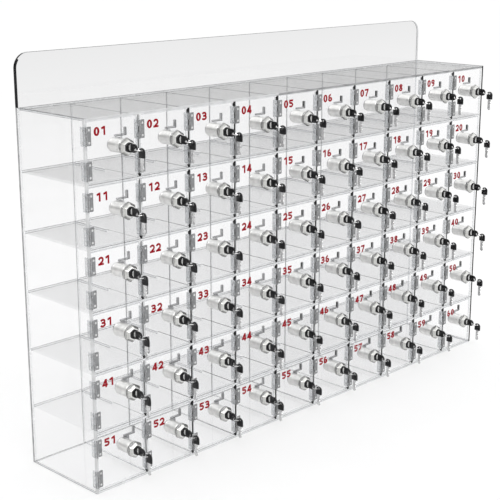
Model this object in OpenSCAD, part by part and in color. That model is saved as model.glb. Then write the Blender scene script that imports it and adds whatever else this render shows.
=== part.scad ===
/* [Cabinet] */
// Clear width of one compartment
cell_w = 96; // [80:1:130]
// Clear height of one compartment
cell_h = 92.5; // [90:0.5:130]
// Depth of the cabinet, back plate included
depth = 168; // [120:1:220]
// Thickness of the clear sheet that the cabinet is made of
wall = 4; // [3:0.5:6]
// Height of the back plate above the top panel
crest_h = 82; // [50:1:120]
// Corner radius of the back plate
crest_r = 24; // [10:1:40]
// Play across each halving slot between a shelf and a divider
slot_play = 0.2; // [0.1:0.05:0.5]

/* [Doors] */
// Thickness of a door
door_t = 4; // [3:0.5:5]
// Gap between a door and the wall at its hinges
gap_hinge = 0.8; // [0.5:0.1:1.5]
// Gap between a door and the wall at its lock
gap_lock = 2.2; // [2.2:0.1:4]
// Gap above and below a door
gap_edge = 1; // [0.5:0.1:2]
// Glue line or seat between two pieces that are fixed to each other
seat = 0.05; // [0.02:0.01:0.1]

/* [Hinges] */
// Height of one hinge
hinge_h = 28; // [20:1:32]
// Height of the lower hinge above the compartment floor
hinge_low = 6; // [4:0.5:10]
// Distance from the upper hinge to the compartment ceiling
hinge_high = 7.5; // [5:0.5:12]
// Thickness of a hinge leaf
leaf_t = 1.2; // [0.8:0.1:1.2]
// Width of the leaf on the wall
wall_leaf_w = 8; // [6:0.5:10]
// Width of the leaf on the door
door_leaf_w = 6.8; // [6:0.2:10]
// Radius of the hinge barrel
knuckle_r = 2; // [1.8:0.1:2.2]
// Radius of the hinge pin
pin_r = 0.8; // [0.6:0.1:1]
// Radial play of the hinge pin
pin_play = 0.05; // [0.02:0.01:0.08]
// Gap between two knuckles along the pin
knuckle_gap = 0.2; // [0.1:0.05:0.4]
// Distance of the hinge axis in front of the doors
axis_out = 2.5; // [2.4:0.1:3]
// Distance of the hinge axis from the hinge side of the opening
axis_side = 2.5; // [2:0.1:2.5]

/* [Lock] */
// Distance of the lock axis from the lock side of the opening
lock_side = 24; // [24:0.5:32]
// Height of the lock axis above the compartment floor
lock_up = 47.5; // [46:0.5:52]
// Radius of the six-sided bezel over its corners
hex_r = 14.5; // [13:0.5:16]
// How far the bezel's corners are turned down
corner_cut = 0.7; // [0.2:0.1:1.2]
// Thickness of the bezel
bezel_t = 8; // [6:0.5:9]
// Thickness of the bezel's rim, from which its front slopes up
bezel_rim = 3; // [2:0.5:4]
// Radius of the bezel's front face over its corners
bezel_face_r = 9.8; // [9:0.2:11]
// Diameter of the lock barrel behind the door
barrel_d = 22; // [20:0.5:23]
// Distance of the barrel's end behind the door's front face
barrel_len = 30.5; // [25:0.5:36]
// Diameter of the barrel's neck, which passes through the door and the bezel
neck_d = 14.5; // [14:0.5:15]
// Play of the neck in the door and in the bezel, on the radius
neck_play = 0.1; // [0.05:0.05:0.2]
// Diameter of the collar round the key
collar_d = 14.8; // [13:0.2:15.4]
// Length of the collar in front of the bezel
collar_len = 2.5; // [2:0.5:5]
// Diameter of the plug inside the barrel
plug_d = 12; // [11:0.5:12.5]
// Diameter of the plug inside the collar
plug_nose_d = 10; // [9:0.5:10.5]
// Radial play of the plug
plug_play = 0.05; // [0.02:0.01:0.08]
// How far the plug's face lies inside the collar
plug_recess = 1; // [0.5:0.1:2]
// Diameter of the plug's tail, which carries the cam
tail_d = 7; // [5:0.5:8]
// Length of the tail behind the cam
tail_len = 1.6; // [1:0.1:3]

/* [Cam and strike] */
// Thickness of the cam
cam_t = 2; // [1.5:0.1:2.5]
// Length of the cam from the lock axis to its tip
cam_reach = 15.5; // [13:0.5:15.5]
// Width of the cam
cam_w = 19; // [14:0.5:19]
// Gap between the cam and what it passes
cam_gap = 0.8; // [0.3:0.1:1.5]
// Thickness of the strike, front to back
strike_t = 3.5; // [2:0.5:8]
// Height of the strike
strike_h = 12.5; // [10:0.5:18]
// Width of the strike's upright
strike_w = 4; // [3:0.5:10]
// Length of the strike's foot from the wall
foot_len = 22; // [18:0.5:24]
// Height of the strike's foot
foot_h = 3; // [2:0.5:6]

/* [Keys] */
// Length of a key's bow
bow_len = 15; // [14:0.5:18]
// Width of a key's bow
bow_w = 13; // [11:0.5:14]
// Thickness of a key's bow
bow_t = 3; // [2:0.1:3.4]
// Length of a key's blade
blade_len = 21; // [16:0.5:24]
// Width of a key's blade
blade_w = 6.5; // [5:0.5:7]
// Thickness of a key's blade
blade_t = 1.6; // [1.2:0.1:2]
// Play of the blade in its keyway, on each side
key_play = 0.1; // [0.05:0.05:0.2]
// Gap between the collar and the bow of the key in the lock
bow_gap = 0.6; // [0.4:0.1:4]
// Radius of the hole in a bow
bow_hole_r = 1.8; // [1.4:0.1:2]
// Distance of that hole from the rounded end of the bow
hole_in = 3.5; // [3:0.1:4]
// How far the hole lies below the middle of the key in the lock
hole_drop = 0.9; // [0.5:0.1:2.5]
// Radius of the key ring, to the middle of its wire
ring_r = 6.8; // [6:0.1:8]
// Radius of the key ring's wire
wire_r = 0.65; // [0.4:0.05:0.8]

/* [Hidden] */

// The list of pieces above fixes how many columns and rows there are
columns = 10;
rows = 6;

$fn = 48;
// A cut runs this far past the face that it opens
past = 1;

pitch_x = cell_w + wall;
pitch_z = cell_h + wall;
total_w = columns * pitch_x + wall;
total_h = rows * pitch_z + wall;
front_y = -depth / 2;
inner_depth = depth - wall;
slot_y = inner_depth / 2;

// Lock, measured from the lower hinge-side corner of an opening's front
lock_x = cell_w - lock_side;
cam_y = barrel_len + seat;
strike_y = cam_y - cam_gap - strike_t;
strike_z = lock_up + max(cam_w, barrel_d) / 2 + cam_gap;
collar_y = -bezel_t - seat;
plug_face_y = collar_y - collar_len + plug_recess;
bow_y = collar_y - collar_len - bow_gap;
bore_r = plug_d / 2 + plug_play;

// Key ring and spare key, measured in the same way
hole_y = bow_y - bow_len + hole_in;
hole_z = lock_up - hole_drop;
ring_y = hole_y - ring_r;
spare_y = ring_y - ring_r;

// Hinge pin
axis_x = -axis_side;
axis_y = -axis_out;
third = hinge_h / 3;
web_back = axis_out - knuckle_r;

function opening_x(column) = -total_w / 2 + wall + (column - 1) * pitch_x;
function floor_z(row) = wall + (rows - row) * pitch_z;
function hinge_z() = [hinge_low, cell_h - hinge_high - hinge_h];

// Places its children in the opening of one compartment
module in_cell(column, row) {
    translate([opening_x(column), front_y, floor_z(row)]) children();
}

// Places its children in every compartment of one column, from a given row down
module down_column(column, first_row) {
    for (row = [first_row:rows])
        in_cell(column, row) children();
}

module in_all_cells() {
    for (column = [1:columns])
        down_column(column, 1) children();
}

// Lays an upright cylinder's axis along the depth, from the lock axis at y = 0
module along_lock(y) {
    translate([lock_x, y, lock_up]) rotate([-90, 0, 0]) children();
}

module clear_sheet() {
    color([0.86, 0.9, 0.93, 0.4]) children();
}

module metal() {
    color([0.78, 0.79, 0.8]) children();
}

module black_plastic() {
    color([0.08, 0.08, 0.09]) children();
}

// Cabinet

module back_panel() {
    tall = total_h + crest_h;
    clear_sheet()
    translate([0, front_y + inner_depth, 0])
        union() {
            translate([-total_w / 2, 0, 0]) cube([total_w, wall, tall - crest_r]);
            translate([-total_w / 2 + crest_r, 0, 0]) cube([total_w - 2 * crest_r, wall, tall]);
            for (side = [-1, 1])
                translate([side * (total_w / 2 - crest_r), 0, tall - crest_r])
                    rotate([-90, 0, 0]) cylinder(r = crest_r, h = wall, $fn = 96);
        }
}

module side_panel(side) {
    clear_sheet()
    translate([side * (total_w - wall) / 2 - wall / 2, front_y, 0]) cube([wall, inner_depth, total_h]);
}

module left_side_panel() {
    side_panel(-1);
}

module right_side_panel() {
    side_panel(1);
}

// A level sheet between the two sides
module level_sheet(z) {
    translate([-total_w / 2 + wall, front_y, z]) cube([total_w - 2 * wall, inner_depth, wall]);
}

module top_panel() {
    clear_sheet() level_sheet(total_h - wall);
}

module bottom_panel() {
    clear_sheet() level_sheet(0);
}

// A shelf is whole along its front and slotted from the back for the dividers
module shelf(number) {
    z = floor_z(number) - wall;
    clear_sheet()
    difference() {
        level_sheet(z);
        for (column = [2:columns])
            translate([opening_x(column) - wall - slot_play / 2, front_y + slot_y - slot_play / 2, z - past])
                cube([wall + slot_play, inner_depth, wall + 2 * past]);
    }
}

// A divider stands from the bottom panel to the top one and is slotted from the front
module divider(number) {
    clear_sheet()
    difference() {
        translate([opening_x(number + 1) - wall, front_y, wall]) cube([wall, inner_depth, total_h - 2 * wall]);
        for (row = [1:rows - 1])
            translate([opening_x(number + 1) - wall - past, front_y - past, floor_z(row) - wall - slot_play / 2])
                cube([wall + 2 * past, slot_y + slot_play / 2 + past, wall + slot_play]);
    }
}

// Hinges

module knuckle(z, h) {
    translate([axis_x, axis_y, z]) cylinder(r = knuckle_r, h = h);
}

// The leaf on the wall carries the two outer knuckles
module wall_leaf(z) {
    leaf_x = -wall - leaf_t;
    difference() {
        union() {
            translate([leaf_x, 0, z]) cube([leaf_t, wall_leaf_w, hinge_h]);
            for (low = [z, z + 2 * third + knuckle_gap / 2]) {
                knuckle(low, third - knuckle_gap / 2);
                translate([leaf_x, axis_y, low])
                    cube([axis_x - leaf_x - pin_r - pin_play, axis_out - web_back, third - knuckle_gap / 2]);
                translate([leaf_x, axis_y, low]) cube([leaf_t, axis_out + leaf_t, third - knuckle_gap / 2]);
            }
        }
        translate([axis_x, axis_y, z - past]) cylinder(r = pin_r + pin_play, h = hinge_h + 2 * past);
    }
}

// The leaf on the door carries the middle knuckle
module door_leaf(z) {
    middle = z + third + knuckle_gap / 2;
    middle_h = third - knuckle_gap;
    difference() {
        union() {
            translate([gap_hinge, -leaf_t - seat, z]) cube([door_leaf_w, leaf_t, hinge_h]);
            knuckle(middle, middle_h);
            translate([axis_x, -leaf_t - seat, middle])
                cube([gap_hinge + leaf_t - axis_x, leaf_t + seat - web_back, middle_h]);
        }
        translate([axis_x, axis_y, z - past]) cylinder(r = pin_r + pin_play, h = hinge_h + 2 * past);
    }
}

module wall_hinge_leaves() {
    color([0.75, 0.78, 0.8, 0.6])
    in_all_cells()
        for (z = hinge_z()) wall_leaf(z);
}

module hinge_pins() {
    metal()
    in_all_cells()
        for (z = hinge_z()) translate([axis_x, axis_y, z]) cylinder(r = pin_r, h = hinge_h);
}

module door_leaves() {
    color([0.75, 0.78, 0.8, 0.6])
    for (z = hinge_z()) door_leaf(z);
}

// Doors

module door_panel() {
    clear_sheet()
    difference() {
        translate([gap_hinge, 0, gap_edge])
            cube([cell_w - gap_hinge - gap_lock, door_t, cell_h - 2 * gap_edge]);
        along_lock(-past) cylinder(d = neck_d + 2 * neck_play, h = door_t + 2 * past);
    }
}

// Strike: a clear L glued to the lock-side wall, its foot just above the cam
module strikes() {
    clear_sheet()
    in_all_cells() {
        translate([cell_w - strike_w, strike_y, strike_z]) cube([strike_w, strike_t, strike_h]);
        translate([cell_w - foot_len, strike_y, strike_z]) cube([foot_len, strike_t, foot_h]);
    }
}

// Lock

// The six-sided bezel has a corner up, turned-down corners and a sloping front
module lock_bezel() {
    metal()
    difference() {
        along_lock(-seat) rotate([180, 0, 0])
            intersection() {
                rotate([0, 0, 30])
                    union() {
                        cylinder(r = hex_r, h = bezel_rim - seat, $fn = 6);
                        translate([0, 0, bezel_rim - seat])
                            cylinder(r1 = hex_r, r2 = bezel_face_r, h = bezel_t - bezel_rim, $fn = 6);
                    }
                cylinder(r = hex_r - corner_cut, h = bezel_t);
            }
        along_lock(-bezel_t - past) cylinder(d = neck_d + 2 * neck_play, h = bezel_t + 2 * past);
    }
}

// The shell's barrel bears on the back of the door and its neck passes through the bezel
module lock_shell() {
    metal()
    difference() {
        union() {
            along_lock(door_t + seat) cylinder(d = barrel_d, h = barrel_len - door_t - seat);
            along_lock(-bezel_t) cylinder(d = neck_d, h = bezel_t + door_t + seat + past);
        }
        along_lock(-bezel_t - past) cylinder(r = bore_r, h = barrel_len + bezel_t + 2 * past);
    }
}

module lock_collar() {
    black_plastic()
    difference() {
        along_lock(collar_y - collar_len) cylinder(d = collar_d, h = collar_len);
        along_lock(collar_y - collar_len - past)
            cylinder(r = plug_nose_d / 2 + plug_play, h = collar_len + 2 * past);
    }
}

// The plug turns in the shell, with the keyway in its front and the cam on its tail
module lock_plug() {
    nose_len = collar_y - plug_face_y;
    key_slot = [blade_t + 2 * key_play, blade_len, blade_w + 2 * key_play];
    metal()
    difference() {
        union() {
            along_lock(plug_face_y) cylinder(d = plug_nose_d, h = nose_len + seat + past);
            along_lock(-bezel_t) cylinder(d = plug_d, h = bezel_t + barrel_len);
            along_lock(0) cylinder(d = tail_d, h = cam_y + cam_t + tail_len);
        }
        translate([lock_x - key_slot[0] / 2, bow_y, lock_up - key_slot[2] / 2]) cube(key_slot + [0, past, 0]);
    }
}

module lock_cam() {
    metal()
    difference() {
        union() {
            along_lock(cam_y) cylinder(d = cam_w, h = cam_t);
            translate([lock_x, cam_y, lock_up - cam_w / 2]) cube([cam_reach, cam_t, cam_w]);
        }
        along_lock(cam_y - past) cylinder(d = tail_d + 2 * plug_play, h = cam_t + 2 * past);
    }
}

// Keys

// A bow from its flat end at the origin along +Z, in the YZ plane, with its hole
module key_bow(drop) {
    round_z = bow_len - bow_w / 2;
    difference() {
        union() {
            translate([-bow_t / 2, -bow_w / 2, 0]) cube([bow_t, bow_w, round_z]);
            translate([-bow_t / 2, 0, round_z]) rotate([0, 90, 0]) cylinder(d = bow_w, h = bow_t);
        }
        translate([-bow_t / 2 - past, -drop, bow_len - hole_in])
            rotate([0, 90, 0]) cylinder(r = bow_hole_r, h = bow_t + 2 * past);
    }
}

module key_blade() {
    tip = blade_w / 3;
    translate([-blade_t / 2, 0, 0])
        rotate([90, 0, 90]) linear_extrude(blade_t)
            polygon([
                [-blade_w / 2, 0], [-blade_w / 2, tip - blade_len], [-blade_w / 6, -blade_len],
                [blade_w / 6, -blade_len], [blade_w / 2, tip - blade_len], [blade_w / 2, 0]
            ]);
}

module whole_key(drop) {
    black_plastic() translate([0, 0, seat]) key_bow(drop);
    metal() key_blade();
}

// The key in the lock points outwards, with its hole a little below the middle
module key_in_lock() {
    translate([lock_x, bow_y + seat, lock_up]) rotate([90, 0, 0]) whole_key(hole_drop);
}

module key_ring() {
    metal()
    translate([lock_x, ring_y, hole_z]) rotate_extrude($fn = 36)
        translate([ring_r, 0]) circle(r = wire_r, $fn = 16);
}

// The spare key hangs from the ring by the hole in its bow
module spare_key() {
    translate([lock_x, spare_y, hole_z - bow_len + hole_in]) whole_key(0);
}

// Pieces of the first door

module door_01_panel() {
    in_cell(1, 1) door_panel();
}

module door_01_hinge_leaves() {
    in_cell(1, 1) door_leaves();
}

module door_01_lock_body() {
    in_cell(1, 1) {
        lock_shell();
        lock_bezel();
        lock_collar();
    }
}

module door_01_plug() {
    in_cell(1, 1) lock_plug();
}

module door_01_cam() {
    in_cell(1, 1) lock_cam();
}

module door_01_key() {
    in_cell(1, 1) key_in_lock();
}

module door_01_key_ring() {
    in_cell(1, 1) key_ring();
}

module door_01_spare_key() {
    in_cell(1, 1) spare_key();
}

// Pieces of every other door, one group of each kind to a column

function first_row(column) = column == 1 ? 2 : 1;

module column_doors(column) {
    down_column(column, first_row(column)) {
        door_panel();
        door_leaves();
    }
}

module column_locks(column) {
    down_column(column, first_row(column)) {
        lock_shell();
        lock_bezel();
        lock_collar();
        lock_plug();
        lock_cam();
    }
}

module column_keys(column) {
    down_column(column, first_row(column)) {
        key_in_lock();
        key_ring();
        spare_key();
    }
}

back_panel();
left_side_panel();
right_side_panel();
top_panel();
bottom_panel();
shelf(1);  // shelf_1
shelf(2);  // shelf_2
shelf(3);  // shelf_3
shelf(4);  // shelf_4
shelf(5);  // shelf_5
divider(1);  // divider_1
divider(2);  // divider_2
divider(3);  // divider_3
divider(4);  // divider_4
divider(5);  // divider_5
divider(6);  // divider_6
divider(7);  // divider_7
divider(8);  // divider_8
divider(9);  // divider_9
wall_hinge_leaves();
hinge_pins();
strikes();
door_01_panel();
door_01_hinge_leaves();
door_01_lock_body();
door_01_plug();
door_01_cam();
door_01_key();
door_01_key_ring();
door_01_spare_key();
column_doors(1);  // column_01_doors
column_locks(1);  // column_01_locks
column_keys(1);  // column_01_keys
column_doors(2);  // column_02_doors
column_locks(2);  // column_02_locks
column_keys(2);  // column_02_keys
column_doors(3);  // column_03_doors
column_locks(3);  // column_03_locks
column_keys(3);  // column_03_keys
column_doors(4);  // column_04_doors
column_locks(4);  // column_04_locks
column_keys(4);  // column_04_keys
column_doors(5);  // column_05_doors
column_locks(5);  // column_05_locks
column_keys(5);  // column_05_keys
column_doors(6);  // column_06_doors
column_locks(6);  // column_06_locks
column_keys(6);  // column_06_keys
column_doors(7);  // column_07_doors
column_locks(7);  // column_07_locks
column_keys(7);  // column_07_keys
column_doors(8);  // column_08_doors
column_locks(8);  // column_08_locks
column_keys(8);  // column_08_keys
column_doors(9);  // column_09_doors
column_locks(9);  // column_09_locks
column_keys(9);  // column_09_keys
column_doors(10);  // column_10_doors
column_locks(10);  // column_10_locks
column_keys(10);  // column_10_keys
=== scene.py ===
"""Looks of a clear locker cabinet for phones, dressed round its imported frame."""

import logging
import math
from collections.abc import Callable, Sequence
from dataclasses import dataclass, field
from enum import Enum

import bmesh
import bpy
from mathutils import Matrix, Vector
from mathutils.geometry import tessellate_polygon


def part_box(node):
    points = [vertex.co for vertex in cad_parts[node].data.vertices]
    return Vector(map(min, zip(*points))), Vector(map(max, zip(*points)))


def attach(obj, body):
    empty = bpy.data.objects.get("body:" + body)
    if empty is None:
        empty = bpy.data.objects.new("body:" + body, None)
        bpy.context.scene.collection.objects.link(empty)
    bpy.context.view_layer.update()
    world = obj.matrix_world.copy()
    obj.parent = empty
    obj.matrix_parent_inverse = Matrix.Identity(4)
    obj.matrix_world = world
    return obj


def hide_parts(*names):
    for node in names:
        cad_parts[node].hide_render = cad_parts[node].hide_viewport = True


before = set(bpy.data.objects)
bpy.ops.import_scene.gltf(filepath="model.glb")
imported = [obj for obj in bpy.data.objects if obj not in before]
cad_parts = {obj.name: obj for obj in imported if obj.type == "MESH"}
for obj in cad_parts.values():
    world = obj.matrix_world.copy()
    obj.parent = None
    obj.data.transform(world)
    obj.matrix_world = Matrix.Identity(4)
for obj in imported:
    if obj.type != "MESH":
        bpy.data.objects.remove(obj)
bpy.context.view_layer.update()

MM = 0.001
Point = tuple[float, float]
Loop = list[Point]
Colour = tuple[float, float, float]
FIRST_DOOR = "door_01"
# The column from which front edges of the cabinet get painted shade
DARK_FROM = 5
# Where most of the noise lies, for numbers and for colours
NOISE_SPAN = (0.3, 0.7)
RAMP_STOPS = (0.35, 0.65)
# The colour inputs and the colour output of a mixing node
LOW_COLOUR, HIGH_COLOUR, MIXED_COLOUR = 6, 7, 2
# Edges that turn by more than this look sharp
SHARP_TURN = math.radians(28)
# The least squared length of two added normals, which keeps sharp corners short
BLUNTEST_INSET = 0.5
BLUNTEST_STROKE = 0.7
log = logging.getLogger("locker")


class Plane(Enum):
    """The plane that an outline is drawn in. Its third direction is the sheet's thickness."""

    XY = (0, 1, 2)
    XZ = (0, 2, 1)
    YZ = (1, 2, 0)

    def place(self, u: float, v: float, w: float) -> Vector:
        """Puts a point of the plane at height w in the frame."""
        point = Vector((0.0, 0.0, 0.0))
        for axis, value in zip(self.value, (u, v, w)):
            point[axis] = value
        return point


# Finishes


class Nodes:
    """Adds shader nodes to a material or world and wires them."""

    def __init__(self, tree: bpy.types.NodeTree) -> None:
        """Starts from an empty node tree."""
        self.tree = tree
        tree.nodes.clear()

    def add(self, kind: str, **values: object) -> bpy.types.Node:
        """Adds a node.

        Args:
            kind: The node's type without the words ShaderNode.
            values: Attributes of the node, or its input sockets with underscores for spaces.

        Returns:
            The new node.
        """
        node = self.tree.nodes.new("ShaderNode" + kind)
        for key, value in values.items():
            if hasattr(node, key):
                setattr(node, key, value)
            else:
                node.inputs[key.replace("_", " ")].default_value = value
        return node

    def join(self, source: bpy.types.NodeSocket, target: bpy.types.NodeSocket) -> None:
        """Wires an output to an input."""
        self.tree.links.new(source, target)

    def feed(self, value: object, target: bpy.types.NodeSocket) -> None:
        """Sets an input to a number or wires an output to it."""
        if isinstance(value, (int, float)):
            target.default_value = value
        else:
            self.join(value, target)

    def math(self, operation: str, first: object, second: object = 0.0) -> bpy.types.NodeSocket:
        """Adds a calculation on two numbers or outputs.

        Args:
            operation: What is done with them.
            first: A number or an output.
            second: A number or an output.

        Returns:
            The result's socket.
        """
        node = self.add("Math", operation=operation)
        for socket, value in zip(node.inputs, (first, second)):
            self.feed(value, socket)
        return node.outputs[0]

    def height(self, space: str) -> bpy.types.NodeSocket:
        """Gives the height of a point in one of the texture spaces."""
        place = self.add("TexCoord")
        axes = self.add("SeparateXYZ")
        self.join(place.outputs[space], axes.inputs[0])
        return axes.outputs["Z"]

    def grain(self, scale: float, detail: float = 3.0, stretch: Colour = (1, 1, 1)) -> bpy.types.NodeSocket:
        """Adds noise that lies still on the piece.

        Args:
            scale: How fine it is, per metre.
            detail: How many finer layers it has.
            stretch: Scale along each direction.

        Returns:
            The noise's value.
        """
        place = self.add("TexCoord")
        mapping = self.add("Mapping", Scale=stretch)
        noise = self.add("TexNoise", Scale=scale, Detail=detail)
        self.join(place.outputs["Object"], mapping.inputs["Vector"])
        self.join(mapping.outputs["Vector"], noise.inputs["Vector"])
        return noise.outputs["Fac"]

    def spread(self, value: bpy.types.NodeSocket, low: float, high: float) -> bpy.types.NodeSocket:
        """Maps the span that noise mostly keeps to onto a range of numbers."""
        start, stop = NOISE_SPAN
        node = self.add("MapRange", From_Min=start, From_Max=stop, To_Min=low, To_Max=high)
        self.join(value, node.inputs["Value"])
        return node.outputs["Result"]

    def shade(self, value: bpy.types.NodeSocket, low: Colour, high: Colour) -> bpy.types.NodeSocket:
        """Maps noise onto colours between two."""
        ramp = self.add("ValToRGB")
        for stop, place, colour in zip(ramp.color_ramp.elements, RAMP_STOPS, (low, high)):
            stop.position = place
            stop.color = (*colour, 1)
        self.join(value, ramp.inputs["Fac"])
        return ramp.outputs["Color"]

    def bump(self, value: bpy.types.NodeSocket, strength: float, depth: float) -> bpy.types.NodeSocket:
        """Turns a height into a normal.

        Args:
            value: The height.
            strength: Share of it that shows.
            depth: Its real height in metres.

        Returns:
            The bent normal.
        """
        node = self.add("Bump", Strength=strength, Distance=depth)
        self.join(value, node.inputs["Height"])
        return node.outputs["Normal"]

    def end(self, shader: bpy.types.Node, kind: str = "OutputMaterial") -> None:
        """Wires a shader to the output of the material or the world."""
        output = self.add(kind)
        self.join(shader.outputs[0], output.inputs["Surface"])

    def end_mixed(self, share: object, clear: bpy.types.Node, gloss: bpy.types.Node) -> None:
        """Ends in a mix of passing light and a share of gloss, which is a number or an output."""
        mix = self.add("MixShader")
        self.feed(share, mix.inputs[0])
        self.join(clear.outputs[0], mix.inputs[1])
        self.join(gloss.outputs[0], mix.inputs[2])
        self.end(mix)


@dataclass(frozen=True)
class Finish:
    """A surface finish that makes its own material."""

    name: str

    def wire(self, nodes: Nodes) -> None:
        """Builds the finish's nodes."""
        raise NotImplementedError

    def material(self) -> bpy.types.Material:
        """Gives the finish's material, which is made once."""
        made = bpy.data.materials.get(self.name)
        if made is None:
            made = bpy.data.materials.new(self.name)
            made.use_nodes = True
            self.wire(Nodes(made.node_tree))
        return made


@dataclass(frozen=True)
class ClearSheet(Finish):
    """The broad face of clear cast sheet, which tints a little and mirrors at a slant."""

    tint: Colour = (0.97, 0.972, 0.975)
    mirror: float = 0.3
    straight_mirror: float = 0.012
    ripple: float = 0.000004
    ripple_share: float = 0.4
    ripple_grain: float = 9
    haze: float = 0.025
    haze_grain: float = 40
    steepness: float = 4.0

    def passing(self, nodes: Nodes) -> bpy.types.Node:
        """Gives the shader of the light that goes through."""
        return nodes.add("BsdfTransparent", Color=(*self.tint, 1))

    def wire(self, nodes: Nodes) -> None:
        """Mixes passing light with a slanting mirror over faint ripples."""
        gloss = nodes.add("BsdfAnisotropic", distribution="GGX", Color=(1, 1, 1, 1))
        nodes.join(nodes.spread(nodes.grain(self.haze_grain), 0.0, self.haze), gloss.inputs["Roughness"])
        ripples = nodes.grain(self.ripple_grain, 1)
        nodes.join(nodes.bump(ripples, self.ripple_share, self.ripple), gloss.inputs["Normal"])
        slant = nodes.add("LayerWeight").outputs["Facing"]
        share = nodes.math("MULTIPLY", nodes.math("POWER", slant, self.steepness), self.mirror)
        nodes.end_mixed(nodes.math("ADD", share, self.straight_mirror), self.passing(nodes), gloss)


@dataclass(frozen=True)
class PaintedShadeSheet(ClearSheet):
    """Clear sheet whose tint darkens towards its top: painted shade, where the sheet looks greyer against a
    pale sky.
    """

    painted_shade_tint: Colour = (0.91, 0.91, 0.911)
    heights: Point = (0.0, 0.665)
    bend: float = 3.0

    def passing(self, nodes: Nodes) -> bpy.types.Node:
        """Gives the shader of the light that goes through, with painted shade that deepens with height."""
        clear = nodes.add("BsdfTransparent")
        share = nodes.add("MapRange", From_Min=self.heights[0], From_Max=self.heights[1])
        nodes.join(nodes.height("Object"), share.inputs["Value"])
        blend = nodes.add("Mix", data_type="RGBA")
        nodes.join(nodes.math("POWER", share.outputs["Result"], self.bend), blend.inputs[0])
        blend.inputs[LOW_COLOUR].default_value = (*self.tint, 1)
        blend.inputs[HIGH_COLOUR].default_value = (*self.painted_shade_tint, 1)
        nodes.join(blend.outputs[MIXED_COLOUR], clear.inputs["Color"])
        return clear


@dataclass(frozen=True)
class SheetRim(Finish):
    """The polished rim of clear sheet, made cloudy and grey: painted shade for the dark look that refraction
    gives its edge.
    """

    dark: Colour = (0.42, 0.43, 0.44)
    light: Colour = (0.66, 0.675, 0.68)
    cover: float = 0.75
    shine: float = 0.5
    rough: float = 0.2
    index: float = 1.49
    streaks: float = 60
    scratches: float = 900
    scratch_share: float = 0.2
    scratch_depth: float = 0.00002
    through: Colour = (0.9, 0.91, 0.92)

    def wire(self, nodes: Nodes) -> None:
        """Mixes passing light with a streaked grey gloss."""
        gloss = {"Roughness": self.rough, "IOR": self.index, "Specular_IOR_Level": self.shine}
        body = nodes.add("BsdfPrincipled", **gloss)
        streaks = nodes.grain(self.streaks, 2)
        nodes.join(nodes.shade(streaks, self.dark, self.light), body.inputs["Base Color"])
        lines = nodes.bump(nodes.grain(self.scratches), self.scratch_share, self.scratch_depth)
        nodes.join(lines, body.inputs["Normal"])
        clear = nodes.add("BsdfTransparent", Color=(*self.through, 1))
        nodes.end_mixed(self.cover, clear, body)


@dataclass(frozen=True)
class Solid(Finish):
    """An opaque finish with grain in its colour, gloss and surface."""

    dark: Colour = (0.5, 0.5, 0.5)
    light: Colour = (0.6, 0.6, 0.6)
    metallic: float = 0.0
    smooth: float = 0.2
    rough: float = 0.35
    grain: float = 400.0
    stretch: Colour = (1, 1, 1)
    depth: float = 0.000006
    shine: float = 0.5
    layers: float = 4
    strength: float = 0.3

    def wire(self, nodes: Nodes) -> None:
        """Builds one gloss with noise in its colour, roughness and height."""
        body = nodes.add("BsdfPrincipled", Metallic=self.metallic, Specular_IOR_Level=self.shine)
        grain = nodes.grain(self.grain, self.layers, self.stretch)
        nodes.join(nodes.shade(grain, self.dark, self.light), body.inputs["Base Color"])
        nodes.join(nodes.spread(grain, self.smooth, self.rough), body.inputs["Roughness"])
        nodes.join(nodes.bump(grain, self.strength, self.depth), body.inputs["Normal"])
        nodes.end(body)


@dataclass(frozen=True)
class HingePlastic(Finish):
    """Smoky clear plastic of the moulded hinges."""

    tint: Colour = (0.5, 0.51, 0.52)
    cover: float = 0.7
    through: Colour = (0.85, 0.86, 0.87)
    rough: float = 0.25
    index: float = 1.5
    clouds: float = 150
    cloud_tone: float = 0.75

    def wire(self, nodes: Nodes) -> None:
        """Mixes passing light with a cloudy gloss."""
        body = nodes.add("BsdfPrincipled", Roughness=self.rough, IOR=self.index)
        dark = tuple(self.cloud_tone * part for part in self.tint)
        nodes.join(nodes.shade(nodes.grain(self.clouds), dark, self.tint), body.inputs["Base Color"])
        clear = nodes.add("BsdfTransparent", Color=(*self.through, 1))
        nodes.end_mixed(self.cover, clear, body)


@dataclass(frozen=True)
class PaleFloor(Finish):
    """Matt white floor, lit through from below like a product table."""

    colour: Colour = (0.36, 0.36, 0.36)
    glow: float = 0.49
    rough: float = 0.8
    mottles: float = 3
    mottle_tone: float = 1.04

    def wire(self, nodes: Nodes) -> None:
        """Adds a soft glow to a matt surface with faint mottling."""
        body = nodes.add("BsdfPrincipled", Roughness=self.rough, Emission_Strength=self.glow)
        body.inputs["Emission Color"].default_value = (1, 1, 1, 1)
        light = tuple(self.mottle_tone * part for part in self.colour)
        nodes.join(nodes.shade(nodes.grain(self.mottles), self.colour, light), body.inputs["Base Color"])
        nodes.end(body)


@dataclass(frozen=True)
class Sheet:
    """The finishes of one sheet: its faces, its rim, the arris between them and the rim's dark lines, which
    are painted shade.

    A border is a strip of the faces along the rim, which can be dressed by itself, as with painted shade.
    """

    face: Finish
    rim: Finish
    arris: Finish
    line: Finish | None = None
    line_widths: Point = (0.6 * MM, 0.6 * MM)
    border: float = 0.0

    @classmethod
    def even(cls, finish: Finish) -> "Sheet":
        """Gives a plate that has one finish all over."""
        return cls(finish, finish, finish)


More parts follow.
